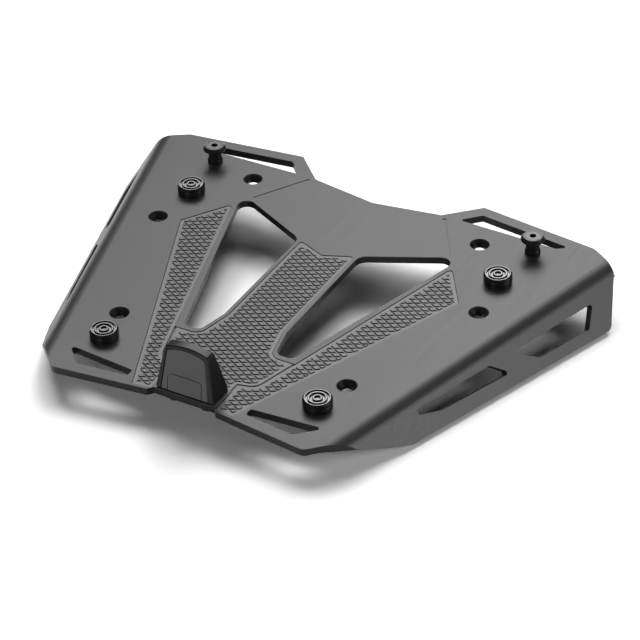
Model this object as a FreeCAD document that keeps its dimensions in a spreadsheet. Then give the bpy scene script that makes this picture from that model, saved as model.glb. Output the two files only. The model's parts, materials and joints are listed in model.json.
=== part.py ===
"""Motorcycle luggage rack: the bent carrier plate that a top case locks onto, with all that is fixed to it.

Millimetres. X runs across the rack, Y towards the two studs that the case hooks under, Z up.
Every piece is drawn from the middle of the plate's top face, z = 0, and moved at the end so that the
origin lies in the middle of the rack's footprint, level with its lowest edge.
"""

import FreeCAD, Part
import math
import os
import re
import Sketcher

SIZES = {
    # The sheet, and the fold that turns each side down
    "sheet_thickness": 4.7,
    "bend_inside_radius": 7.3,
    "bend_angle": 55.5,
    "fold_at": 127.3,  # where the outside fold line crosses the X axis
    "side_angle": 15.2,  # between the fold line and Y
    # The plate's outline, right half
    "front_middle_y": 118.5,
    "front_step_x": 45.2,
    "front_step_y": 125.8,
    "horn_x": 65.5,
    "horn_y": 145.6,
    "shoulder_x": 145.7,
    "shoulder_y": 135.6,
    "shoulder_fall": 32.5,
    "tail_x": 84.3,
    "tail_y": 117.4,
    "tail_sweep": 6.8,
    "tail_chamfer": 45.0,
    "horn_radius": 2.5,
    "shoulder_radius": 7.0,
    "tail_radius": 6.0,
    "recess_radius": 1.0,
    "recess_side_gap": 0.6,  # beside the catch
    "recess_flare": 3.0,
    # The long window, right half
    "spine_half_width": 21.2,
    "window_front_y": 62.7,
    "window_tip_x": 78.6,
    "window_tip_y": 90.4,
    "window_rear_y": 47.3,
    "window_rear_outer_x": 37.3,
    "window_rear_inner_x": 26.0,
    "window_taper_y": 26.0,
    "window_inner_radius": 8.0,
    "window_tip_radius": 6.0,
    "window_rear_radius": 5.0,
    # The strap slot in front of the studs
    "strap_inner_x": 57.6,
    "strap_inner_y": 126.2,
    "strap_peak_x": 68.7,
    "strap_peak_y": 137.4,
    "strap_tip_x": 131.2,
    "strap_tip_y": 129.6,
    "strap_heel_x": 124.6,
    "strap_heel_y": 124.9,
    "strap_radius": 1.2,
    # The three-cornered slot at the rear
    "wedge_inner_x": 39.8,
    "wedge_front_y": 98.8,
    "wedge_rear_y": 104.5,
    "wedge_tip_x": 86.2,
    "wedge_tip_y": 95.1,
    "wedge_heel_x": 72.3,
    "wedge_heel_y": 108.1,
    "wedge_radius": 1.7,
    # The line pressed into the sheet from the front edge to the window
    "score_front_x": 49.2,
    "score_front_y": 123.6,
    "score_rear_x": 70.0,
    "score_rear_y": 89.6,
    "score_width": 0.8,
    "score_depth": 0.4,
    "score_dot_radius": 1.3,
    # The folded side: along the fold line and down from it
    "side_tail_along": 97.1,
    "side_tail_down": 9.0,
    "side_heel_along": 61.6,
    "side_heel_down": 24.5,
    "side_toe_along": 108.4,
    "side_toe_down": 34.4,
    "side_brow_along": 127.6,
    "side_brow_down": 8.0,
    "side_toe_radius": 6.0,
    "side_heel_radius": 3.0,
    # The two openings in each side
    "port_front_near": 36.5,
    "port_front_far": 103.8,
    "port_front_top": 11.9,
    "port_front_top_end": 14.0,
    "port_front_base": 92.8,
    "port_front_base_down": 26.6,
    "port_front_knee": 50.0,
    "port_front_knee_down": 23.9,
    "port_rear_near": 48.2,
    "port_rear_far": 12.8,
    "port_rear_top": 8.4,
    "port_rear_top_end": 10.9,
    "port_rear_base": 25.0,
    "port_rear_base_down": 21.6,
    "port_rear_knee": 31.6,
    "port_rear_knee_down": 17.4,
    "port_nose_height": 3.7,
    "port_radius": 1.5,
    # The six countersunk holes that bolt the plate to its brackets
    "mount_bore": 6.6,
    "mount_countersink": 12.5,
    "mount_countersink_angle": 90,
    "mount_front_x": 81.15,
    "mount_front_y": 107.85,
    "mount_middle_x": 112.6,
    "mount_middle_y": 43.8,
    "mount_rear_x": 77.75,
    "mount_rear_y": 54.6,
    # The moulded grip pads, let into the sheet, and their lozenges
    "pad_recess_depth": 0.9,
    "pad_thickness": 0.5,
    "pad_edge": 0.3,
    "pad_tip_radius": 2.0,
    "pad_gap": 1.0,
    "pad_strip": 2.3,  # bare sheet between the window and the middle pad
    "pad_tip_in": 1.0,  # the side pad's tip, from the window's tip
    "pad_tip_back": 12.8,
    "pad_turn_in": 4.7,  # its turn, from the window's rear end
    "pad_turn_back": 32.9,
    "pad_outer_x": 97.9,
    "pad_outer_y": 47.0,
    "pad_tail_x": 33.7,
    "pad_tail_margin": 1.9,
    "pad_recess_margin": 1.5,
    "pad_step_y": 82.8,
    "pad_turn_radius": 9.0,
    "pad_front_back": 1.4,
    "pad_front_dip": 7.8,
    "pad_waist_back": 3.3,
    "pad_waist_radius": 7.5,
    "lozenge_pitch_x": 8.26,
    "lozenge_pitch_y": 4.57,
    "lozenge_groove": 0.4,
    "lozenge_flat": 0.6,  # how wide its flat top is, as a share of its foot
    "lozenge_height": 0.5,
    "lozenge_border": 2.6,
    "lozenge_least": 0.15,  # the smallest share of one that the border leaves standing
    # The rubber buffers
    "buffer_front_x": 108.6,
    "buffer_front_y": 77.5,
    "buffer_rear_x": 72.3,
    "buffer_rear_y": 79.0,
    "buffer_radius": 8.8,
    "buffer_height": 6.4,
    "buffer_bevel": 1.1,
    "buffer_waist": 0.6,
    "buffer_hole_radius": 1.6,
    "buffer_ring_width": 1.5,
    "buffer_ring_gap": 1.3,
    "buffer_ring_depth": 1.0,
    "buffer_ring_round": 0.35,
    "buffer_stem_radius": 4.0,
    "buffer_barb_radius": 5.4,
    "buffer_barb_length": 4.5,
    "buffer_fit": 0.1,
    # The studs: a spool on a countersunk screw, held by a washer and a nut
    "stud_x": 113.65,
    "stud_y": 115.0,
    "stud_head_radius": 7.4,
    "stud_head_height": 4.2,
    "stud_height": 12.3,
    "stud_neck_radius": 4.15,
    "stud_foot_radius": 4.85,
    "stud_foot_height": 2.9,
    "stud_head_bevel": 1.5,
    "screw_radius": 2.5,
    "screw_fit": 0.3,
    "screw_head_radius": 4.5,
    "screw_head_rim": 0.4,
    "screw_socket": 4.0,
    "screw_socket_depth": 2.3,
    "screw_length": 25.0,
    "washer_radius": 5.0,
    "washer_thickness": 1.2,
    "nut_across": 8.0,
    "nut_height": 5.0,
    # The rear catch
    "catch_half_width": 19.6,
    "catch_top_half_width": 14.6,
    "catch_shoulder_z": 27.9,
    "catch_height": 30.6,
    "catch_rear_y": 106.4,
    "catch_lean": 10.2,
    "catch_depth": 16.1,
    "catch_top_depth": 4.2,
    "catch_foot_height": 3.8,
    "catch_foot_gap": 1.0,  # the rear face stops short of the plate
    "catch_foot_step": 2.4,
    "catch_shoulder_radius": 2.6,
    "catch_edge_radius": 1.2,
    "catch_fit": 0.2,
    "cover_rim": 3.4,
    "cover_brow": 1.4,
    "cover_corner_radius": 2.0,
    "cover_pocket": 1.8,
    "cover_thickness": 1.9,
    "cover_edge": 0.7,
    "cover_fit": 0.25,
    "cover_tab_half_width": 11.6,
    "cover_tab_height": 11.9,
    "cover_tab_groove": 0.5,
    "cover_tab_rise": 0.5,
    "cover_tab_radius": 3.0,
    "catch_screw_x": 11.0,
    "catch_screw_y": 98.2,
    "catch_screw_radius": 2.5,
    "catch_screw_head_radius": 4.6,
    "catch_screw_head_height": 3.2,
    "catch_screw_reach": 12.0,
    "catch_screw_socket": 3.0,
    "catch_washer_radius": 5.6,
    "catch_washer_thickness": 1.2,
}

NEAR = 0.05  # how near an edge passes to the corner that it is known by
UP = FreeCAD.Vector(0, 0, 1)
SIDES = {"right": 1, "left": -1}

doc = FreeCAD.newDocument("luggage_rack")
sheet = doc.addObject("Spreadsheet::Sheet", "sizes")


def fill_sheet():
    """One row for each size: its name, then its value, which carries the name as alias."""
    for row, (name, number) in enumerate(SIZES.items(), 1):
        set_cell(row, name, number)
    for row, name in enumerate(("origin_y", "origin_z"), len(SIZES) + 1):
        set_cell(row, name, 0)
    doc.recompute()


def set_cell(row, name, number):
    sheet.set(f"A{row}", name)
    sheet.set(f"B{row}", str(number))
    sheet.setAlias(f"B{row}", name)


def bound(text):
    """The expression with every size in it read from the sheet."""
    return re.sub(r"[a-z]+(_[a-z]+)+", lambda word: f"sizes.{word.group()}", text)


def value(text):
    """What an expression comes to now."""
    return float(sheet.evalExpression(bound(text)))


def point(x, y, z="0"):
    return FreeCAD.Vector(value(x), value(y), value(z))


def new_body(label):
    body = doc.addObject("PartDesign::Body", label)
    body.Label = label
    return body


def new_sketch(body, name, role="XY_Plane", offset=None):
    """A sketch on one of the body's own planes, moved and turned from it by an expression."""
    sketch = body.newObject("Sketcher::SketchObject", name)
    plane = next(one for one in body.Origin.OriginFeatures if one.Role == role)
    sketch.AttachmentSupport = [(plane, "")]
    sketch.MapMode = "FlatFace"
    if offset:
        sketch.setExpression("AttachmentOffset", bound(offset))
        doc.recompute()
    return sketch


def tie(sketch, geometry, spot, x, y):
    """Holds one end or centre of a curve at a place given by two expressions."""
    for kind, axis, text in (("DistanceX", -2, x), ("DistanceY", -1, y)):
        number = value(text)
        if abs(number) < 1e-9:
            sketch.addConstraint(Sketcher.Constraint("PointOnObject", geometry, spot, axis))
            continue
        row = sketch.addConstraint(Sketcher.Constraint(kind, -1, 1, geometry, spot, number))
        sketch.setExpression(f"Constraints[{row}]", bound(text))


def polygon(sketch, corners):
    """A closed outline of straight lines through corners given as pairs of expressions."""
    spots = [point(x, y) for x, y in corners]
    first = sketch.GeometryCount
    for here, there in zip(spots, spots[1:] + spots[:1]):
        sketch.addGeometry(Part.LineSegment(here, there), False)
    for step, (x, y) in enumerate(corners):
        after = (step + 1) % len(corners)
        sketch.addConstraint(Sketcher.Constraint("Coincident", first + step, 2, first + after, 1))
        tie(sketch, first + step, 1, x, y)


def circle(sketch, x, y, radius):
    centre = point(x, y)
    row = sketch.addGeometry(Part.Circle(centre, UP, value(radius)), False)
    tie(sketch, row, 3, x, y)
    rule = sketch.addConstraint(Sketcher.Constraint("Radius", row, value(radius)))
    sketch.setExpression(f"Constraints[{rule}]", bound(radius))


def pad(body, sketch, length, both_ways=False, backwards=False):
    feature = body.newObject("PartDesign::Pad", sketch.Name + "_pad")
    feature.Profile = sketch
    feature.setExpression("Length", bound(length))
    feature.Reversed = backwards
    if both_ways:
        feature.SideType = "Symmetric"
    doc.recompute()
    return feature


def cut(body, sketch, depth=None, both_ways=False, backwards=False):
    """A pocket from the sketch, right through if no depth is given; it must take something away."""
    before = body.Shape.Volume
    feature = body.newObject("PartDesign::Pocket", sketch.Name + "_cut")
    feature.Profile = sketch
    feature.Reversed = backwards
    if both_ways:
        feature.SideType = "Symmetric"
    if depth:
        feature.setExpression("Length", bound(depth))
    else:
        feature.Type = "ThroughAll"
    doc.recompute()
    if not body.Shape.Volume < before:
        raise RuntimeError(f"{feature.Name} takes nothing away")
    return feature


def edges_through(shape, spots, along=UP):
    """Names of the straight edges that run along a direction through any of the spots."""
    names = []
    for number, edge in enumerate(shape.Edges, 1):
        if edge.Curve.TypeId != "Part::GeomLine" or edge.Curve.Direction.cross(along).Length > 1e-6:
            continue
        start = edge.Vertexes[0].Point
        if any(start.distanceToLine(spot, along) < NEAR for spot in spots):
            names.append(f"Edge{number}")
    return names


def soften(body, name, edges, radius=None, bevel=None):
    """Rounds the named edges of the body so far, or bevels them."""
    base = body.Tip
    feature = body.newObject("PartDesign::Chamfer" if bevel else "PartDesign::Fillet", name)
    feature.Base = (base, edges)
    feature.setExpression("Size" if bevel else "Radius", bound(bevel or radius))
    doc.recompute()
    return feature


def round_off(body, name, radius, spots, along=UP):
    """Rounds the edges that stand on the given corners."""
    edges = edges_through(body.Tip.Shape, spots, along)
    if len(edges) < len(spots):
        raise RuntimeError(f"{name} finds {len(edges)} edges for {len(spots)} corners")
    return soften(body, name, edges, radius)


def turned(label, profile):
    """A body turned about Z from a half profile of (radius, height) expressions."""
    body = new_body(label)
    sketch = new_sketch(body, label + "_profile", "XZ_Plane")
    polygon(sketch, profile)
    feature = body.newObject("PartDesign::Revolution", label + "_turn")
    feature.Profile = sketch
    feature.ReferenceAxis = (sketch, ["V_Axis"])
    feature.Angle = 360
    doc.recompute()
    return body


def place(piece, x="0", y="0", z="0"):
    """Puts a finished piece at its place over the rack's own origin."""
    piece.setExpression(".Placement.Base.x", bound(x))
    piece.setExpression(".Placement.Base.y", bound(f"{y} - origin_y"))
    piece.setExpression(".Placement.Base.z", bound(f"{z} - origin_z"))


# Places worked out from the sizes

BEND_OUTSIDE = "(bend_inside_radius + sheet_thickness)"
REACH = "(fold_at + horn_y)"  # further than any part of the rack lies from the origin
FAR = f"(2 * {REACH})"  # beyond the whole sheet blank
FOLD = "vector(fold_at; 0; 0)"
TAIL_END_Y = f"(-tail_y + ({REACH} - tail_x) * tan(tail_chamfer))"
SHOULDER_END_Y = f"(shoulder_y - ({REACH} - shoulder_x) * tan(shoulder_fall))"
RECESS_X = "(catch_half_width + recess_side_gap)"
RECESS_Y = "(-catch_rear_y - catch_fit)"
FLARE_X = f"({RECESS_X} + recess_flare)"
FLARE_Y = f"(-tail_y + (tail_x - {FLARE_X}) * tan(tail_sweep))"


def sheet_blank(body):
    """The sheet with its side folded down: the fold's section, drawn out along the fold line."""
    sketch = new_sketch(
        body,
        "fold_section",
        offset=f"placement({FOLD}; rotationz(-side_angle) * rotationx(90))",
    )
    drop = "(side_toe_down + side_heel_down)"
    polygon(
        sketch,
        [
            (f"-{REACH}", "0"),
            ("0", "0"),
            (f"{drop} * cos(bend_angle)", f"-{drop} * sin(bend_angle)"),
            (
                f"{drop} * cos(bend_angle) - sheet_thickness * sin(bend_angle)",
                f"-{drop} * sin(bend_angle) - sheet_thickness * cos(bend_angle)",
            ),
            ("-sheet_thickness * tan(bend_angle / 2)", "-sheet_thickness"),
            (f"-{REACH}", "-sheet_thickness"),
        ],
    )
    pad(body, sketch, f"2 * {REACH}", both_ways=True)
    fold = point("fold_at", "0")
    hollow = fold + across(value("-sheet_thickness * tan(bend_angle / 2)")) - UP * value("sheet_thickness")
    round_off(body, "fold_outside", BEND_OUTSIDE, [fold], along_fold())
    round_off(body, "fold_inside", "bend_inside_radius", [hollow], along_fold())


def along_fold():
    angle = math.radians(value("side_angle"))
    return FreeCAD.Vector(math.sin(angle), math.cos(angle), 0)


def across(distance):
    """A step square to the fold line, outwards and level."""
    angle = math.radians(value("side_angle"))
    return FreeCAD.Vector(math.cos(angle), -math.sin(angle), 0) * distance


def side_spot(along, down):
    """A place on the outside of the folded side."""
    angle = math.radians(value("bend_angle"))
    distance = value(down)
    start = point("fold_at", "0") + along_fold() * value(along)
    return start + across(distance * math.cos(angle)) - UP * (distance * math.sin(angle))


def side_normal():
    angle = math.radians(value("bend_angle"))
    return across(math.sin(angle)) + UP * math.cos(angle)


def side_sketch(body, name):
    """A sketch on the outside of the folded side: X along the fold, Y down the side."""
    turn = "rotationz(90 - side_angle) * rotationx(bend_angle - 180)"
    return new_sketch(body, name, offset=f"placement({FOLD}; {turn})")


def trim_outline(body):
    """Everything outside the plate's plan is cut away, through the fold and the side too."""
    sketch = new_sketch(body, "plan")
    polygon(sketch, [(f"-{FAR}", f"-{FAR}"), (FAR, f"-{FAR}"), (FAR, FAR), (f"-{FAR}", FAR)])
    polygon(
        sketch,
        [
            ("0", "front_middle_y"),
            ("front_step_x", "front_step_y"),
            ("horn_x", "horn_y"),
            ("shoulder_x", "shoulder_y"),
            (REACH, SHOULDER_END_Y),
            (REACH, TAIL_END_Y),
            ("tail_x", "-tail_y"),
            (FLARE_X, FLARE_Y),
            (RECESS_X, RECESS_Y),
            ("0", RECESS_Y),
        ],
    )
    cut(body, sketch)
    horn = [point("horn_x", "horn_y"), point("front_step_x", "front_step_y")]
    recess = [point(FLARE_X, FLARE_Y), point(RECESS_X, RECESS_Y)]
    round_off(body, "horn_corners", "horn_radius", horn)
    round_off(body, "shoulder_corner", "shoulder_radius", [point("shoulder_x", "shoulder_y")])
    round_off(body, "tail_corner", "tail_radius", [point("tail_x", "-tail_y")])
    round_off(body, "recess_corners", "recess_radius", recess)


def trim_side(body):
    """The folded side's lower edge: slanted up to the tail, and back from the toe."""
    sketch = side_sketch(body, "side_edge")
    slant = "((side_heel_down - side_tail_down) / (side_tail_along - side_heel_along))"
    polygon(
        sketch,
        [
            (f"-{FAR}", f"side_tail_down - ({FAR} - side_tail_along) * {slant}"),
            ("-side_heel_along", "side_heel_down"),
            ("side_toe_along", "side_toe_down"),
            ("side_brow_along", "side_brow_down"),
            (FAR, "side_brow_down"),
            (FAR, FAR),
            (f"-{FAR}", FAR),
        ],
    )
    cut(body, sketch, "4 * sheet_thickness", both_ways=True)
    toe = [side_spot("side_toe_along", "side_toe_down")]
    heel = [side_spot("-side_heel_along", "side_heel_down")]
    round_off(body, "toe_corner", "side_toe_radius", toe, side_normal())
    round_off(body, "heel_corner", "side_heel_radius", heel, side_normal())


def side_ports(body):
    """Two long openings in the side, each with a blunt nose towards the tail."""
    nose = "port_nose_height"
    front = [
        ("port_front_near", "port_front_top"),
        ("port_front_far", "port_front_top_end"),
        ("port_front_base", "port_front_base_down"),
        ("port_front_knee", "port_front_knee_down"),
        ("port_front_near", f"port_front_top + {nose}"),
    ]
    rear = [
        ("-port_rear_near", "port_rear_top"),
        ("port_rear_far", "port_rear_top_end"),
        ("port_rear_base", "port_rear_base_down"),
        ("-port_rear_knee", "port_rear_knee_down"),
        ("-port_rear_near", f"port_rear_top + {nose}"),
    ]
    sketch = side_sketch(body, "ports")
    polygon(sketch, front)
    polygon(sketch, rear)
    cut(body, sketch, "4 * sheet_thickness", both_ways=True)
    spots = [side_spot(along, down) for along, down in front + rear]
    round_off(body, "port_corners", "port_radius", spots, side_normal())


WINDOW = [
    ("spine_half_width", "window_front_y"),
    ("window_tip_x", "window_tip_y"),
    ("window_rear_outer_x", "-window_rear_y"),
    ("window_rear_inner_x", "-window_rear_y"),
    ("spine_half_width", "-window_taper_y"),
]
STRAP_SLOT = [
    ("strap_peak_x", "strap_peak_y"),
    ("strap_tip_x", "strap_tip_y"),
    ("strap_heel_x", "strap_heel_y"),
    ("strap_inner_x", "strap_inner_y"),
]
WEDGE_SLOT = [
    ("wedge_inner_x", "-wedge_front_y"),
    ("wedge_tip_x", "-wedge_tip_y"),
    ("wedge_heel_x", "-wedge_heel_y"),
    ("wedge_inner_x", "-wedge_rear_y"),
]


def plan_openings(body):
    """The window and the two slots of one half."""
    sketch = new_sketch(body, "openings")
    for outline in (WINDOW, STRAP_SLOT, WEDGE_SLOT):
        polygon(sketch, outline)
    cut(body, sketch)
    inner, tip, *rear = [point(x, y) for x, y in WINDOW[:4]]
    round_off(body, "window_inner_corner", "window_inner_radius", [inner])
    round_off(body, "window_tip_corner", "window_tip_radius", [tip])
    round_off(body, "window_rear_corners", "window_rear_radius", rear)
    round_off(body, "strap_corners", "strap_radius", [point(x, y) for x, y in STRAP_SLOT])
    round_off(body, "wedge_corners", "wedge_radius", [point(x, y) for x, y in WEDGE_SLOT])


def score_line(body):
    """The shallow line pressed into the top face, from the front edge towards the window."""
    sketch = new_sketch(body, "score")
    run = "sqrt((score_rear_x - score_front_x)^2 + (score_front_y - score_rear_y)^2)"
    side_x = f"(score_width / 2 * (score_front_y - score_rear_y) / {run})"
    side_y = f"(score_width / 2 * (score_rear_x - score_front_x) / {run})"
    polygon(
        sketch,
        [
            (f"score_front_x - {side_x}", f"score_front_y - {side_y}"),
            (f"score_front_x + {side_x}", f"score_front_y + {side_y}"),
            (f"score_rear_x + {side_x}", f"score_rear_y + {side_y}"),
            (f"score_rear_x - {side_x}", f"score_rear_y - {side_y}"),
        ],
    )
    cut(body, sketch, "score_depth")
    sketch = new_sketch(body, "score_dot")
    circle(sketch, "score_front_x", "score_front_y - score_dot_radius", "score_dot_radius")
    cut(body, sketch, "score_depth")


MOUNTS = [
    ("mount_front_x", "mount_front_y"),
    ("mount_middle_x", "mount_middle_y"),
    ("mount_rear_x", "-mount_rear_y"),
]
BUFFERS = {"front": ("buffer_front_x", "buffer_front_y"), "rear": ("buffer_rear_x", "-buffer_rear_y")}


def bolt_holes(body):
    """Countersunk mounting holes, and the plain holes for studs, buffers and the catch."""
    sketch = new_sketch(body, "mount_centres")
    for x, y in MOUNTS:
        circle(sketch, x, y, "mount_bore / 2")
    doc.recompute()
    hole = body.newObject("PartDesign::Hole", "mount_holes")
    hole.Profile = sketch
    doc.recompute()
    hole.Threaded = False
    hole.DepthType = "ThroughAll"
    hole.HoleCutType = "Countersink"
    hole.HoleCutCustomValues = True
    hole.setExpression("Diameter", bound("mount_bore"))
    hole.setExpression("HoleCutDiameter", bound("mount_countersink"))
    hole.setExpression("HoleCutCountersinkAngle", bound("mount_countersink_angle"))
    doc.recompute()
    sketch = new_sketch(body, "plain_holes")
    circle(sketch, "stud_x", "stud_y", "screw_radius + screw_fit")
    for x, y in BUFFERS.values():
        circle(sketch, x, y, "buffer_stem_radius + buffer_fit")
    circle(sketch, "catch_screw_x", "-catch_screw_y", "catch_screw_radius + catch_fit")
    cut(body, sketch)


# The pads: their inner line leans out from the turn to the tip, and stays a gap apart

CATCH_FRONT_Y = "(catch_depth - catch_rear_y)"
STEP_X = f"({RECESS_X} + pad_recess_margin)"
TURN_X = "(window_rear_outer_x - pad_turn_in)"
TURN_Y = "(-window_rear_y - pad_turn_back)"
TIP_X = "(window_tip_x - pad_tip_in)"
TIP_Y = "(window_tip_y - pad_tip_back)"
PAD_LEAN = f"(({TIP_X} - {TURN_X}) / ({TIP_Y} - {TURN_Y}))"
STEP_LEAN = f"((pad_step_y + {TURN_Y}) / ({TURN_X} - {STEP_X}))"
EDGE_GAP = f"(pad_gap / cos(atan({PAD_LEAN})))"
STEP_GAP = f"(pad_gap / cos(atan({STEP_LEAN})))"
CORNER_X = f"(({PAD_LEAN} * {STEP_GAP} - {EDGE_GAP}) / (1 - {PAD_LEAN} * {STEP_LEAN}))"
CORNER_Y = f"({STEP_LEAN} * {CORNER_X} + {STEP_GAP})"
WAIST_Y = "(-window_rear_y - pad_waist_back)"
PAD_FRONT_Y = "(window_front_y - pad_front_back - pad_front_dip)"
TAPER_LEAN = "((window_rear_inner_x - spine_half_width) / (window_rear_y - window_taper_y))"
SIDE_PAD = [
    (TIP_X, TIP_Y),
    ("pad_outer_x", "pad_outer_y"),
    ("pad_tail_x", "-tail_y + (tail_x - pad_tail_x) * tan(tail_sweep) + pad_tail_margin"),
    (STEP_X, f"-tail_y + (tail_x - {STEP_X}) * tan(tail_sweep) + pad_tail_margin"),
    (STEP_X, "-pad_step_y"),
    (TURN_X, TURN_Y),
]
MIDDLE_PAD = [
    ("spine_half_width - pad_strip", "window_front_y - pad_front_back"),
    ("spine_half_width - pad_strip", "-window_taper_y"),
    (f"spine_half_width - pad_strip - (window_taper_y + {WAIST_Y}) * {TAPER_LEAN}", WAIST_Y),
    (f"{TURN_X} + ({WAIST_Y} - {TURN_Y}) * {PAD_LEAN} - {EDGE_GAP}", WAIST_Y),
    (f"{TURN_X} + {CORNER_X}", f"{TURN_Y} + {CORNER_Y}"),
    (f"{STEP_X} - pad_gap", f"-pad_step_y + {STEP_GAP} - {STEP_LEAN} * pad_gap"),
    (f"{STEP_X} - pad_gap", f"{CATCH_FRONT_Y} + pad_gap"),
]
PADS_OUTLINE = (
    [("-pad_gap", PAD_FRONT_Y), ("0", PAD_FRONT_Y)]
    + MIDDLE_PAD[:3]
    + [(f"{TURN_X} + ({WAIST_Y} - {TURN_Y}) * {PAD_LEAN}", WAIST_Y)]
    + SIDE_PAD[:4]
    + [(STEP_X, f"{CATCH_FRONT_Y} + pad_gap"), ("-pad_gap", f"{CATCH_FRONT_Y} + pad_gap")]
)


def pad_recess(body):
    """One shallow recess for the pads of this half; the gaps between them are its floor."""
    sketch = new_sketch(body, "pad_recess")
    polygon(sketch, PADS_OUTLINE)
    cut(body, sketch, "pad_recess_depth")
    tips = [point(*MIDDLE_PAD[0]), point(*SIDE_PAD[0])]
    round_off(body, "recess_tips", "pad_tip_radius", tips)
    round_off(body, "recess_waist", "pad_waist_radius", [point(*MIDDLE_PAD[2])])
    round_off(body, "recess_rest", "pad_gap / 2", [point(x, y) for x, y in SIDE_PAD[1:4]])


def carrier_plate():
    """One bent sheet: the right half is drawn, mirrored and joined to its copy."""
    half = new_body("plate_half")
    sheet_blank(half)
    trim_outline(half)
    trim_side(half)
    side_ports(half)
    plan_openings(half)
    score_line(half)
    pad_recess(half)
    bolt_holes(half)
    other = doc.addObject("Part::Mirroring", "plate_other_half")
    other.Source = half
    other.Normal = (1, 0, 0)
    plate = doc.addObject("Part::Fuse", "plate")
    plate.Label = "plate"
    plate.Base = half
    plate.Tool = other
    plate.Refine = True
    doc.recompute()
    return plate


def rhombus(centre, share):
    """The corners of one cell of the staggered rows, drawn in to a share of its size."""
    wide, deep = value("lozenge_pitch_x") / 2 * share, value("lozenge_pitch_y") / 2 * share
    return [centre + FreeCAD.Vector(u, v, 0) for u, v in ((wide, 0), (0, deep), (-wide, 0), (0, -deep))]


def lozenge(centre):
    """A low block with a rhombus for its foot, sloping in to a flat top."""
    wide, deep = value("lozenge_pitch_x") / 2, value("lozenge_pitch_y") / 2
    share = 1 - value("lozenge_groove") / 2 * math.hypot(wide, deep) / (wide * deep)
    foot = rhombus(centre, share)
    top = rhombus(centre + UP * value("lozenge_height"), share * value("lozenge_flat"))
    faces = [Part.Face(Part.makePolygon(ring + ring[:1])) for ring in (foot, top)]
    for side in range(4):
        after = (side + 1) % 4
        slope = [foot[side], foot[after], top[after], top[side]]
        faces.append(Part.Face(Part.makePolygon(slope + slope[:1])))
    return foot, Part.Solid(Part.Shell(faces))


def lozenge_field(label, base):
    """Staggered rows of lozenges, cut off along the pad's plain border."""
    floor = next(face for face in base.Shape.Faces if face.normalAt(0, 0).z < -0.99)
    field = floor.makeOffset2D(-value("lozenge_border"))
    room = field.extrude(UP * (value("pad_thickness") + 2 * value("lozenge_height")))
    bounds, top = field.BoundBox, UP * value("pad_thickness")
    wide, deep = value("lozenge_pitch_x") / 2, value("lozenge_pitch_y") / 2
    blocks = []
    for column in range(math.floor(bounds.XMin / wide), math.ceil(bounds.XMax / wide) + 1):
        for row in range(math.floor(bounds.YMin / deep), math.ceil(bounds.YMax / deep) + 1):
            if (column + row) % 2:
                continue
            foot, block = lozenge(FreeCAD.Vector(column * wide, row * deep, 0) + top)
            inside = [field.isInside(corner - top, NEAR, True) for corner in foot]
            if all(inside):
                blocks.append(block)
            elif any(inside):
                piece = block.common(room)
                if piece.Volume > value("lozenge_least") * block.Volume:
                    blocks.extend(piece.Solids)
    feature = doc.addObject("Part::Feature", label)
    feature.Shape = Part.Compound(blocks)
    return feature


def top_face(shape):
    """Name of the highest level face."""
    level = [face for face in shape.Faces if abs(face.normalAt(0, 0).z) > 0.99]
    highest = max(level, key=lambda face: face.CenterOfMass.z)
    return next(f"Face{number}" for number, face in enumerate(shape.Faces, 1) if face.isSame(highest))


def grip_pad(label, outline, corners):
    """A flat moulded pad with a rounded outline and a bevelled rim, its lozenges standing on it."""
    body = new_body(label + "_base")
    sketch = new_sketch(body, label + "_outline")
    polygon(sketch, outline)
    pad(body, sketch, "pad_thickness")
    for number, (radius, spots) in enumerate(corners):
        round_off(body, f"{label}_corners_{number}", radius, [point(x, y) for x, y in spots])
    soften(body, label + "_rim", [top_face(body.Tip.Shape)], bevel="pad_edge")
    joined = doc.addObject("Part::Fuse", label)
    joined.Label = label
    joined.Base = body
    joined.Tool = lozenge_field(label + "_lozenges", body)
    doc.recompute()
    place(joined, z="-pad_recess_depth")
    return joined


def mirrored(outline, side):
    return [(f"{side} * ({x})", y) for x, y in outline]


def side_pad(name):
    outline = mirrored(SIDE_PAD, SIDES[name])
    tip, *plain, turn = outline
    corners = [("pad_turn_radius", [turn]), ("pad_tip_radius", [tip]), ("pad_gap / 2", plain)]
    return grip_pad("grip_pad_" + name, outline, corners)


def middle_pad():
    right, left = MIDDLE_PAD, mirrored(MIDDLE_PAD, -1)
    outline = [("0", PAD_FRONT_Y)] + right + left[::-1]
    corners = [
        ("pad_tip_radius", [right[0], left[0]]),
        ("pad_waist_radius", [right[2], left[2]]),
        ("pad_turn_radius - pad_gap", [right[4], left[4]]),
    ]
    return grip_pad("grip_pad_middle", outline, corners)


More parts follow.
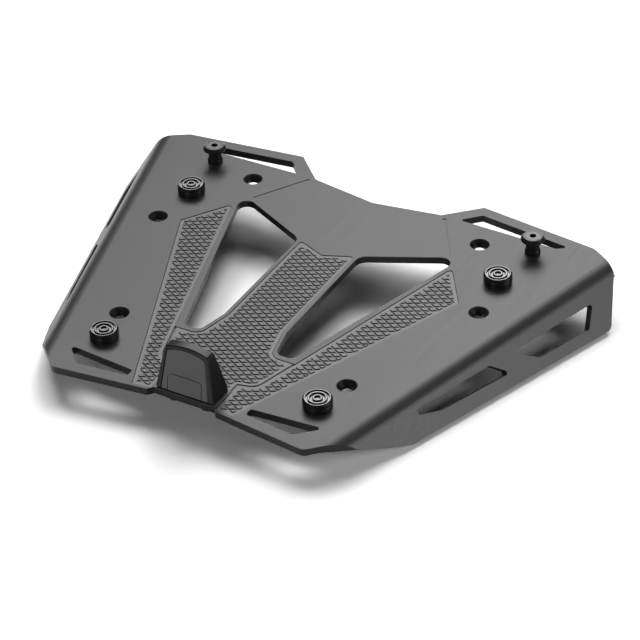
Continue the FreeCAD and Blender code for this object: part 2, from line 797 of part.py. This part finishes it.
def buffer(name, x, y):
    """A turned rubber stop: two rings round a hole on top, a waist, and a barbed stem through the plate."""
    floor = "(buffer_height - buffer_ring_depth)"
    shoulder = "(buffer_height - buffer_ring_round)"
    profile = [("0", floor)]
    inner = "buffer_hole_radius"
    for _ in range(2):
        outer = f"({inner} + buffer_ring_width)"
        profile += [
            (inner, floor),
            (inner, shoulder),
            (f"{inner} + buffer_ring_round", "buffer_height"),
            (f"{outer} - buffer_ring_round", "buffer_height"),
            (outer, shoulder),
            (outer, floor),
        ]
        inner = f"({outer} + buffer_ring_gap)"
    middle = "(buffer_height / 2)"
    under = "(-sheet_thickness - buffer_fit)"
    profile += [
        (inner, floor),
        (inner, "buffer_height"),
        ("buffer_radius - buffer_bevel", "buffer_height"),
        ("buffer_radius", "buffer_height - buffer_bevel"),
        ("buffer_radius", f"{middle} + buffer_waist"),
        ("buffer_radius - buffer_waist", middle),
        ("buffer_radius", f"{middle} - buffer_waist"),
        ("buffer_radius", "0"),
        ("buffer_stem_radius", "0"),
        ("buffer_stem_radius", under),
        ("buffer_barb_radius", under),
        ("buffer_stem_radius - buffer_waist", f"{under} - buffer_barb_length"),
        ("0", f"{under} - buffer_barb_length"),
    ]
    body = turned("buffer_" + name, profile)
    place(body, x, y)
    return body


def stud(side, x):
    """The spool that the case's hook slides under, bored and countersunk for its screw."""
    bore = "(screw_radius + screw_fit)"
    mouth = "(screw_head_radius + screw_fit / 3)"
    rim = "(stud_height - screw_head_rim)"
    shoulder = "(stud_height - stud_head_height)"
    profile = [
        (bore, "0"),
        ("stud_foot_radius", "0"),
        ("stud_foot_radius", "stud_foot_height + stud_neck_radius - stud_foot_radius"),
        ("stud_neck_radius", "stud_foot_height"),
        ("stud_neck_radius", shoulder),
        ("stud_head_radius", f"{shoulder} + (stud_head_radius - stud_neck_radius) / 2"),
        ("stud_head_radius", "stud_height - stud_head_bevel"),
        ("stud_head_radius - stud_head_bevel", "stud_height"),
        (mouth, "stud_height"),
        (mouth, rim),
        (bore, f"{rim} - {mouth} + {bore}"),
    ]
    body = turned("stud_" + side, profile)
    place(body, x, "stud_y")
    return body


def hexagon(sketch, width):
    """A hexagon about the origin, given its width across flats."""
    reach = f"{width} / sqrt(3)"
    turns = [60 * step for step in range(6)]
    polygon(sketch, [(f"{reach} * cos({turn})", f"{reach} * sin({turn})") for turn in turns])


def stud_screw(side, x):
    """A countersunk screw with a hexagon socket, its top level with the spool's."""
    seat = "(screw_head_rim + screw_head_radius - screw_radius)"
    point_back = "(screw_length - screw_head_rim)"
    profile = [
        ("0", "0"),
        ("screw_head_radius", "0"),
        ("screw_head_radius", "-screw_head_rim"),
        ("screw_radius", f"-{seat}"),
        ("screw_radius", f"-{point_back}"),
        ("screw_radius - screw_head_rim", "-screw_length"),
        ("0", "-screw_length"),
    ]
    body = turned("stud_screw_" + side, profile)
    sketch = new_sketch(body, "socket_" + side)
    hexagon(sketch, "screw_socket")
    cut(body, sketch, "screw_socket_depth")
    place(body, x, "stud_y", "stud_height")
    return body


def washer(label, hole, radius, thickness, x, y, z):
    profile = [(hole, "0"), (radius, "0"), (radius, thickness), (hole, thickness)]
    body = turned(label, profile)
    place(body, x, y, z)
    return body


def stud_nut(side, x):
    body = new_body("stud_nut_" + side)
    sketch = new_sketch(body, "nut_plan_" + side)
    hexagon(sketch, "nut_across")
    circle(sketch, "0", "0", "screw_radius")
    pad(body, sketch, "nut_height")
    place(body, x, "stud_y", "-sheet_thickness - washer_thickness - nut_height")
    return body


def arched(sketch, foot, foot_z, shoulder, shoulder_z, crown_z):
    """A closed outline with a straight foot, leaning flanks and an arched top."""
    corners = [(foot, foot_z), (shoulder, shoulder_z), (f"-{shoulder}", shoulder_z), (f"-{foot}", foot_z)]
    right, high_right, high_left, left = [point(x, z) for x, z in corners]
    crown = FreeCAD.Vector(0, value(crown_z), 0)
    first = sketch.GeometryCount
    curve = Part.Arc(high_right, crown, high_left)
    for edge in (Part.LineSegment(right, high_right), curve, Part.LineSegment(high_left, left)):
        sketch.addGeometry(edge, False)
    sketch.addGeometry(Part.LineSegment(left, right), False)
    for step in range(4):
        after = first + (step + 1) % 4
        sketch.addConstraint(Sketcher.Constraint("Coincident", first + step, 2, after, 1))
    for geometry, (x, z) in zip((first, first + 1, first + 2, first + 3), corners):
        tie(sketch, geometry, 1, x, z)
    rise = f"({crown_z} - {shoulder_z})"
    radius = f"(({shoulder} * {shoulder} + {rise} * {rise}) / (2 * {rise}))"
    rule = sketch.addConstraint(Sketcher.Constraint("Radius", first + 1, value(radius)))
    sketch.setExpression(f"Constraints[{rule}]", bound(radius))


def leaning_plane(depth):
    """The catch's rear face, or the plane at some depth behind it."""
    back = f"vector(0; {depth} * cos(catch_lean) - catch_rear_y; -({depth}) * sin(catch_lean))"
    return f"placement({back}; rotationx(90 - catch_lean))"


def face_corners(x, height):
    """A pair of places at one height on the catch's rear face."""
    turn = math.radians(value("catch_lean"))
    up_the_face = FreeCAD.Vector(0, math.sin(turn), math.cos(turn))
    return [point(f"{side} * {x}", "-catch_rear_y") + up_the_face * value(height) for side in SIDES.values()]


def square_to_face():
    turn = math.radians(value("catch_lean"))
    return FreeCAD.Vector(0, math.cos(turn), -math.sin(turn))


def facing_rim(shape, way):
    """Names of the edges round the flat face that looks a given way, but for its straight foot."""
    face = max(shape.Faces, key=lambda one: one.Area if one.normalAt(0, 0).dot(way) > 0.99 else 0)
    foot = face.BoundBox.ZMin + NEAR
    rim = [edge for edge in face.Edges if edge.BoundBox.ZMax > foot]
    return [f"Edge{number}" for number, edge in enumerate(shape.Edges, 1) if any(map(edge.isSame, rim))]


def cover_outline(body, sketch, foot_up, gap, make, depth):
    """Pads or cuts the cover's outline, drawn in all round by a gap, and rounds its shoulders."""
    shoulder = f"(catch_top_half_width - cover_brow - {gap})"
    shoulder_up = f"((catch_shoulder_z - cover_brow) / cos(catch_lean) - {gap})"
    arched(
        sketch,
        f"(catch_half_width - cover_rim - {gap})",
        foot_up,
        shoulder,
        shoulder_up,
        f"((catch_height - cover_brow) / cos(catch_lean) - {gap})",
    )
    make(body, sketch, depth)
    corners = face_corners(shoulder, shoulder_up)
    round_off(body, sketch.Name + "_corners", f"cover_corner_radius - {gap}", corners, square_to_face())


def catch_body():
    """The moulded block the case locks onto: a leaning wedge with an arched top."""
    body = new_body("catch_body")
    sketch = new_sketch(body, "catch_side", "YZ_Plane")
    above = "(catch_height + catch_foot_height)"
    polygon(
        sketch,
        [
            ("catch_foot_step - catch_rear_y", "0"),
            (CATCH_FRONT_Y, "0"),
            (f"{CATCH_FRONT_Y} + catch_fit", "catch_foot_height"),
            (f"{above} * tan(catch_lean) - catch_rear_y + catch_top_depth", above),
            (f"{above} * tan(catch_lean) - catch_rear_y", above),
            ("catch_foot_gap * tan(catch_lean) - catch_rear_y", "catch_foot_gap"),
            ("catch_foot_step - catch_rear_y", "catch_foot_gap"),
        ],
    )
    pad(body, sketch, "2 * catch_half_width", both_ways=True)
    sketch = new_sketch(body, "catch_front", "XZ_Plane")
    edge = "(2 * catch_height)"
    polygon(sketch, [(f"-{edge}", f"-{edge}"), (edge, f"-{edge}"), (edge, edge), (f"-{edge}", edge)])
    arched(sketch, "catch_half_width", "0", "catch_top_half_width", "catch_shoulder_z", "catch_height")
    cut(body, sketch, "4 * catch_rear_y", both_ways=True)
    sides = SIDES.values()
    shoulders = [point(f"{side} * catch_top_half_width", "0", "catch_shoulder_z") for side in sides]
    round_off(body, "catch_shoulders", "catch_shoulder_radius", shoulders, FreeCAD.Vector(0, 1, 0))
    rear_rim = facing_rim(body.Tip.Shape, square_to_face() * -1)
    soften(body, "catch_rear_edge", rear_rim, "catch_edge_radius")
    sketch = new_sketch(body, "catch_screw_bores")
    for side in sides:
        circle(sketch, f"{side} * catch_screw_x", "-catch_screw_y", "catch_screw_radius")
    cut(body, sketch, "catch_screw_reach + catch_washer_thickness", backwards=True)
    sketch = new_sketch(body, "cover_seat", offset=leaning_plane("0"))
    cover_outline(body, sketch, "0", "0", cut, "cover_pocket")
    place(body)
    return body


TAB_RADII = ("cover_tab_radius", "cover_tab_radius - cover_tab_groove")


def catch_cover():
    """The plain cover let into the catch's rear face, with a groove round its lower tab."""
    body = new_body("catch_cover")
    sketch = new_sketch(body, "cover_plan", offset=leaning_plane("cover_pocket"))
    cover_outline(body, sketch, "(catch_foot_gap / cos(catch_lean))", "cover_fit", pad, "cover_thickness")
    front_rim = facing_rim(body.Tip.Shape, square_to_face() * -1)
    soften(body, "cover_rim_bevel", front_rim, bevel="cover_edge")
    sketch = new_sketch(body, "cover_tab", offset=leaning_plane("(cover_pocket - cover_thickness)"))
    corners = []
    for inset in ("0", "cover_tab_groove"):
        wide, high = f"(cover_tab_half_width - {inset})", f"(cover_tab_height - {inset})"
        arched(sketch, wide, f"-{high}", wide, high, f"{high} + cover_tab_rise")
        corners.append(face_corners(wide, high))
    cut(body, sketch, "cover_tab_groove")
    for number, (radius, spots) in enumerate(zip(TAB_RADII, corners)):
        round_off(body, f"tab_corners_{number}", radius, spots, square_to_face())
    place(body)
    return body


def catch_screw(side, x):
    """A cap screw driven up through the plate into the catch."""
    length = "(catch_washer_thickness + sheet_thickness + catch_screw_reach)"
    profile = [
        ("0", "0"),
        ("catch_screw_head_radius", "0"),
        ("catch_screw_head_radius", "catch_screw_head_height"),
        ("catch_screw_radius", "catch_screw_head_height"),
        ("catch_screw_radius", f"catch_screw_head_height + {length}"),
        ("0", f"catch_screw_head_height + {length}"),
    ]
    body = turned("catch_screw_" + side, profile)
    sketch = new_sketch(body, "catch_socket_" + side)
    hexagon(sketch, "catch_screw_socket")
    cut(body, sketch, "catch_screw_head_height / 2", backwards=True)
    place(body, x, "-catch_screw_y", "-sheet_thickness - catch_washer_thickness - catch_screw_head_height")
    return body


def fastenings(side):
    """All that is bolted or pushed into one side of the plate."""
    sign = SIDES[side]
    stud_x, catch_x = f"{sign} * stud_x", f"{sign} * catch_screw_x"
    pieces = [stud(side, stud_x), stud_screw(side, stud_x), stud_nut(side, stud_x)]
    under = "-sheet_thickness - washer_thickness"
    bore = "screw_radius + screw_fit"
    pieces.append(
        washer("stud_washer_" + side, bore, "washer_radius", "washer_thickness", stud_x, "stud_y", under)
    )
    under = "-sheet_thickness - catch_washer_thickness"
    bore = "catch_screw_radius + catch_fit"
    pieces.append(
        washer(
            "catch_washer_" + side,
            bore,
            "catch_washer_radius",
            "catch_washer_thickness",
            catch_x,
            "-catch_screw_y",
            under,
        )
    )
    pieces.append(catch_screw(side, catch_x))
    for end, (x, y) in BUFFERS.items():
        pieces.append(buffer(f"{end}_{side}", f"{sign} * {x}", y))
    return pieces


def settle_origin(pieces):
    """The origin goes to the middle of the whole rack's box, on its floor."""
    whole = FreeCAD.BoundBox()
    for piece in pieces:
        whole.add(piece.Shape.optimalBoundingBox(False))
    set_cell(len(SIZES) + 1, "origin_y", whole.Center.y)
    set_cell(len(SIZES) + 2, "origin_z", whole.ZMin)
    doc.recompute()


def check(pieces):
    for item in doc.Objects:
        if "Invalid" in item.State or "Error" in item.State:
            raise RuntimeError(f"{item.Label} failed: {item.State}")
    for piece in pieces:
        if piece.Shape.isNull() or not piece.Shape.isValid():
            raise RuntimeError(f"{piece.Label} has no valid shape")


def main():
    fill_sheet()
    plate = carrier_plate()
    place(plate)
    pieces = [plate, middle_pad(), catch_body(), catch_cover()]
    for side in SIDES:
        pieces.append(side_pad(side))
        pieces.extend(fastenings(side))
    settle_origin(pieces)
    check(pieces)
    os.makedirs("parts", exist_ok=True)
    for piece in pieces:
        piece.Shape.exportStep(f"parts/{piece.Label}.step")
        print(piece.Label, len(piece.Shape.Solids), round(piece.Shape.Volume, 1))


if __name__ == "__main__":
    main()
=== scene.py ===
import bpy
import json
import math
from mathutils import Matrix, Vector


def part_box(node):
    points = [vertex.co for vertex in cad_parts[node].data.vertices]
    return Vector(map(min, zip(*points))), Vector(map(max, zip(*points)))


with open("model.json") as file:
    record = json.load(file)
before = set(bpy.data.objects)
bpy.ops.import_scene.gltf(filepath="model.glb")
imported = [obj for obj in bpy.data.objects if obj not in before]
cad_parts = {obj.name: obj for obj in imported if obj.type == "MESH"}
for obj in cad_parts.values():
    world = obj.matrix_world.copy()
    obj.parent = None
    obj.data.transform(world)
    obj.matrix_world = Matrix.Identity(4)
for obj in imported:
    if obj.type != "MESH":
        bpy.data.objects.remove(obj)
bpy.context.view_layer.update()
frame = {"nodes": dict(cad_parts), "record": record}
nodes = frame["nodes"]


# Camera: fitted to mirrored points of the rack in the photograph
EYE = Vector((0.67938, -1.11260, 0.95403))
RIGHT = Vector((0.870234, 0.491857, -0.027725))
TOP = Vector((-0.269983, 0.523238, 0.808289))
FORWARD = Vector((-0.412069, 0.695916, -0.588133))
FOCAL_PIXELS = 2646.84
PICTURE_PIXELS = 640
SENSOR_WIDTH = 36
CLIP_START = 0.05
CLIP_END = 50

# Floor: the rack stands on the lower edges of its folded sides, so the floor leans a little under the plate
FLOOR_AT = 0.0040
FLOOR_SLOPE = -0.0507
FLOOR_HALF = 15
FLOOR_AS_LIGHT = (0.4, 0.4, 0.4)
FLOOR_AS_SEEN = (1.34, 1.34, 1.34)

# Lights: name, azimuth from +X towards +Y, elevation, width in metres, watts
LIGHTS = (
    ("back", 107, 53, 2.9, 26),
    ("back_middle", 98, 51, 1.3, 21),
    ("back_low", 112, 36, 1.3, 21),
    ("back_left", 142, 47, 1.3, 28),
    ("right", 16, 17, 1.3, 33),
    ("front", -98, 20, 1.3, 24),
)
LIGHT_DISTANCE = 3.0
WORLD_STRENGTH = 0.01

# Colours: the darkest and the lightest that each finish shows
BRUSHED = (0.035, 0.0353, 0.0360), (0.047, 0.0474, 0.0481)
# The cut edges' colour: partly the real plain coat, partly painted shade that darkens the walls of the
# openings and countersinks
CUT_COAT_AND_SHADE = (0.008, 0.008, 0.0083), (0.012, 0.012, 0.0124)
GRIP = (0.052, 0.0525, 0.054), (0.066, 0.0665, 0.068)
RUBBER = (0.004, 0.004, 0.0044), (0.008, 0.008, 0.0085)
STUD = (0.034, 0.034, 0.036), (0.05, 0.05, 0.052)
FIXING = (0.055, 0.055, 0.057), (0.075, 0.075, 0.077)
CATCH = (0.009, 0.009, 0.0093), (0.013, 0.013, 0.0133)
COVER = (0.064, 0.064, 0.066), (0.084, 0.084, 0.086)

# The part of its range that a noise texture mostly keeps to
NOISE_RANGE = (0.25, 0.75)
STREAK_RANGE = (0.35, 0.65)

# How far below the top face the sheet's cut edges begin, past their small round
CUT_DEPTH = 0.0005
# How far the fold lines move out for each metre along the rack, and where the flat ends at its middle
FOLD_SLANT = 0.2717
FLAT_HALF = 0.118
# Limits for the normals of cut faces
SKEWED = 0.05
INWARD = -0.005
UPRIGHT = 0.35
LEVEL = 0.95

# Rounds on the edges that are easy to see, in metres
BEVELS = {"plate": 0.0004, "catch_body": 0.0006, "catch_cover": 0.0004}
BEVEL_SEGMENTS = 2
BEVEL_ANGLE = math.radians(40)
WELD_DISTANCE = 1e-6


def add_to_scene(name, data):
    """A new object that shows the data."""
    made = bpy.data.objects.new(name, data)
    bpy.context.scene.collection.objects.link(made)
    return made


def add_camera():
    data = bpy.data.cameras.new("camera")
    data.sensor_width = SENSOR_WIDTH
    data.lens = FOCAL_PIXELS / PICTURE_PIXELS * SENSOR_WIDTH
    data.clip_start = CLIP_START
    data.clip_end = CLIP_END
    camera = add_to_scene("camera", data)
    turn = Matrix((RIGHT, TOP, -FORWARD)).transposed().to_4x4()
    camera.matrix_world = Matrix.Translation(EYE) @ turn
    bpy.context.scene.camera = camera


class Nodes:
    """A material's node tree, with short ways to add and join nodes."""

    def __init__(self, name, **settings):
        """A new material; Some_Name=1 sets its shader's socket "Some Name"."""
        self.material = bpy.data.materials.new(name)
        self.material.use_nodes = True
        self.tree = self.material.node_tree
        self.shader = self.tree.nodes["Principled BSDF"]
        for key, number in settings.items():
            self.shader.inputs[key.replace("_", " ")].default_value = number

    def feed(self, socket, value):
        """Join an output to the socket, or set the socket's own value."""
        if isinstance(value, bpy.types.NodeSocket):
            self.tree.links.new(value, socket)
        else:
            socket.default_value = value

    def add(self, kind, **inputs):
        """A new node; Some_Name=1 feeds its socket "Some Name", and _0=1 its first one."""
        node = self.tree.nodes.new(kind)
        for name, value in inputs.items():
            key = int(name[1:]) if name[1:].isdigit() else name.replace("_", " ")
            self.feed(node.inputs[key], value)
        return node

    def place(self, stretch=(1, 1, 1)):
        """Object coordinates, in metres, stretched along the axes."""
        where = self.add("ShaderNodeTexCoord").outputs["Object"]
        return self.add("ShaderNodeMapping", Vector=where, Scale=stretch).outputs["Vector"]

    def noise(self, scale, detail=3.0, stretch=(1, 1, 1), roughness=0.5):
        where = self.place(stretch)
        node = self.add("ShaderNodeTexNoise", Vector=where, Scale=scale, Detail=detail, Roughness=roughness)
        return node.outputs["Fac"]

    def span(self, value, low, high, start=NOISE_RANGE[0], end=NOISE_RANGE[1]):
        """The value's way from start to end, as a way from low to high."""
        limits = {"From_Min": start, "From_Max": end, "To_Min": low, "To_Max": high}
        return self.add("ShaderNodeMapRange", Value=value, **limits).outputs["Result"]

    def calc(self, operation, one, other=0.0):
        node = self.add("ShaderNodeMath", _0=one, _1=other)
        node.operation = operation
        return node.outputs[0]

    def either(self, one, *others):
        """1 where any of the values is 1."""
        for other in others:
            one = self.calc("MAXIMUM", one, other)
        return one

    def split(self, vector):
        """A vector's outputs by axis."""
        return self.add("ShaderNodeSeparateXYZ", Vector=vector).outputs

    def mix(self, fac, *colors):
        """The first colour where fac is 0 and the second where it is 1."""
        node = self.add("ShaderNodeMix")
        node.data_type = "RGBA"
        self.feed(node.inputs["Factor"], fac)
        for key, color in zip("AB", colors):
            self.feed(node.inputs[key], (*color, 1) if isinstance(color, tuple) else color)
        return node.outputs["Result"]

    def tint(self, noise, colors):
        """A colour that follows the noise."""
        return self.mix(self.span(noise, 0, 1), *colors)

    def finish(self, color, relief, roughness, strength, distance):
        """The material in this colour, its roughness and bump following the relief."""
        bump = self.add("ShaderNodeBump", Height=relief, Strength=strength, Distance=distance)
        self.feed(self.shader.inputs["Base Color"], color)
        self.feed(self.shader.inputs["Roughness"], self.span(relief, *roughness))
        self.feed(self.shader.inputs["Normal"], bump.outputs["Normal"])
        return self.material


def off_the_fold(m, normal):
    """1 where a face leans another way than the folded faces do."""
    slant = m.calc("MULTIPLY", m.calc("ABSOLUTE", normal["X"]), FOLD_SLANT)
    skew = m.calc("SUBTRACT", m.calc("ABSOLUTE", normal["Y"]), slant)
    return m.calc("GREATER_THAN", m.calc("ABSOLUTE", skew), SKEWED)


def leans_inward(m, normal, place):
    """1 where a face leans towards the middle of the rack, as the ports' long edges do."""
    lean = m.calc("MULTIPLY", normal["X"], normal["Z"])
    return m.calc("LESS_THAN", m.calc("MULTIPLY", lean, place["X"]), INWARD)


def on_the_flat(m, place):
    """1 between the two folds."""
    slant = m.calc("MULTIPLY", place["Y"], FOLD_SLANT)
    out = m.calc("SUBTRACT", m.calc("ABSOLUTE", place["X"]), slant)
    return m.calc("LESS_THAN", out, FLAT_HALF)


def cut_edges_coat_and_shade(m):
    """1 on the sheet's cut edges and countersinks, which the brush never touched and whose dark colour is
    partly a real plain coat and partly painted shade in the walls of the openings, and 0 on its faces.
    """
    normal = m.split(m.add("ShaderNodeNewGeometry").outputs["True Normal"])
    place = m.split(m.place())
    up = m.calc("ABSOLUTE", normal["Z"])
    upright = m.calc("LESS_THAN", up, UPRIGHT)
    # On the flat of the sheet every leaning face is a cut one
    leaning = m.calc("MULTIPLY", on_the_flat(m, place), m.calc("LESS_THAN", up, LEVEL))
    cut = m.either(upright, leaning, off_the_fold(m, normal), leans_inward(m, normal, place))
    below = m.calc("LESS_THAN", place["Z"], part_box("plate")[1][2] - CUT_DEPTH)
    return m.calc("MULTIPLY", cut, below)


def black_sheet():
    """Black coated aluminium, brushed along the rack, with a darker plain coat on its cut edges that is
    partly painted shade in the walls of its openings and countersinks.
    """
    m = Nodes("black_sheet", Metallic=0.15, Specular_IOR_Level=0.31)
    grain = m.noise(1.0, detail=4.0, stretch=(1400, 22, 1400), roughness=0.6)
    cloud = m.noise(14.0)
    streaks = m.calc("ADD", m.calc("MULTIPLY", grain, 0.7), m.calc("MULTIPLY", cloud, 0.3))
    brushed = m.mix(m.span(streaks, 0, 1, *STREAK_RANGE), *BRUSHED)
    # Cut edges get the dark colour, part real plain coat and part painted shade on the walls of the
    # openings and countersinks
    color = m.mix(cut_edges_coat_and_shade(m), brushed, m.tint(cloud, CUT_COAT_AND_SHADE))
    return m.finish(color, grain, (0.32, 0.43), strength=0.35, distance=0.00005)


def grip_moulding():
    """The pads' fine-grained moulding, with a slight metallic sheen."""
    m = Nodes("grip_moulding", Metallic=0.5)
    grit = m.noise(2600.0, detail=2.0)
    return m.finish(m.tint(m.noise(22.0), GRIP), grit, (0.33, 0.44), strength=0.2, distance=0.00003)


def buffer_rubber():
    """Black rubber with a shiny skin."""
    m = Nodes("buffer_rubber", Specular_IOR_Level=0.3, Coat_Weight=1.0, Coat_Roughness=0.2)
    grit = m.noise(1800.0)
    return m.finish(m.tint(grit, RUBBER), grit, (0.30, 0.40), strength=0.08, distance=0.00002)


def coated_metal(name, colors, metallic):
    """Dark coated metal, turned about the vertical."""
    m = Nodes(name, Metallic=metallic)
    turned = m.noise(1.0, stretch=(300, 300, 3500))
    return m.finish(m.tint(turned, colors), turned, (0.28, 0.42), strength=0.2, distance=0.00003)


def moulded_plastic(name, colors, gloss):
    """Fine-grained moulded plastic."""
    m = Nodes(name, Specular_IOR_Level=gloss)
    grit = m.noise(3200.0, detail=2.0)
    return m.finish(m.tint(m.noise(60.0), colors), grit, (0.30, 0.42), strength=0.3, distance=0.00004)


def all_materials():
    """Each of the record's material slots, with its material."""
    return {
        "black_sheet": black_sheet(),
        "grip_moulding": grip_moulding(),
        "buffer_rubber": buffer_rubber(),
        "stud_metal": coated_metal("stud_metal", STUD, metallic=0.8),
        "fixing_steel": coated_metal("fixing_steel", FIXING, metallic=1.0),
        "catch_plastic": moulded_plastic("catch_plastic", CATCH, gloss=0.25),
        "cover_plastic": moulded_plastic("cover_plastic", COVER, gloss=0.5),
    }


def round_edges(node, width):
    """A small round on the sharp edges, with the faces' own shading kept up to it."""
    weld = node.modifiers.new("weld", "WELD")
    weld.merge_threshold = WELD_DISTANCE
    bevel = node.modifiers.new("bevel", "BEVEL")
    bevel.width = width
    bevel.segments = BEVEL_SEGMENTS
    bevel.limit_method = "ANGLE"
    bevel.angle_limit = BEVEL_ANGLE
    normals = node.modifiers.new("normals", "WEIGHTED_NORMAL")
    normals.keep_sharp = True


def dress_nodes():
    """Every CAD node gets its slot's material, and rounded edges where these are easy to see."""
    materials = all_materials()
    for part in frame["record"]["subparts"]:
        name = part["node"]
        node = nodes[name]
        node.data.materials.clear()
        node.data.materials.append(materials[part["material_slot"]])
        if name in BEVELS:
            round_edges(node, BEVELS[name])


def floor_material():
    """White to the camera and in reflections, and darker as a source of light on the rack."""
    m = Nodes("floor")
    m.tree.nodes.remove(m.shader)
    path = m.add("ShaderNodeLightPath").outputs
    seen = m.either(path["Is Camera Ray"], path["Is Glossy Ray"], path["Is Transmission Ray"])
    diffuse = m.add("ShaderNodeBsdfDiffuse", Color=m.mix(seen, FLOOR_AS_LIGHT, FLOOR_AS_SEEN))
    m.feed(m.tree.nodes["Material Output"].inputs["Surface"], diffuse.outputs["BSDF"])
    return m.material


def floor_corner(x, y):
    return (x, y, FLOOR_AT + FLOOR_SLOPE * y)


def add_floor():
    size = FLOOR_HALF
    corners = [(-size, -size), (size, -size), (size, size), (-size, size)]
    mesh = bpy.data.meshes.new("floor")
    mesh.from_pydata([floor_corner(x, y) for x, y in corners], [], [(0, 1, 2, 3)])
    mesh.materials.append(floor_material())
    add_to_scene("floor", mesh)


def direction(azimuth, elevation):
    """The unit vector that points there from the rack."""
    turn = math.radians(azimuth)
    rise = math.radians(elevation)
    level = math.cos(rise)
    return Vector((level * math.cos(turn), level * math.sin(turn), math.sin(rise)))


def add_light(name, azimuth, elevation, width, power):
    """A round softbox that looks at the rack."""
    data = bpy.data.lights.new(name, "AREA")
    data.shape = "DISK"
    data.size = width
    data.energy = power
    lamp = add_to_scene(name, data)
    way = direction(azimuth, elevation)
    lamp.location = way * LIGHT_DISTANCE
    lamp.rotation_mode = "QUATERNION"
    lamp.rotation_quaternion = way.to_track_quat("Z", "Y")


def add_world():
    world = bpy.data.worlds.new("studio")
    world.use_nodes = True
    background = world.node_tree.nodes["Background"]
    background.inputs["Color"].default_value = (1, 1, 1, 1)
    background.inputs["Strength"].default_value = WORLD_STRENGTH
    bpy.context.scene.world = world


add_camera()
dress_nodes()
add_floor()
for light in LIGHTS:
    add_light(*light)
add_world()
bpy.context.scene.view_settings.view_transform = "Standard"
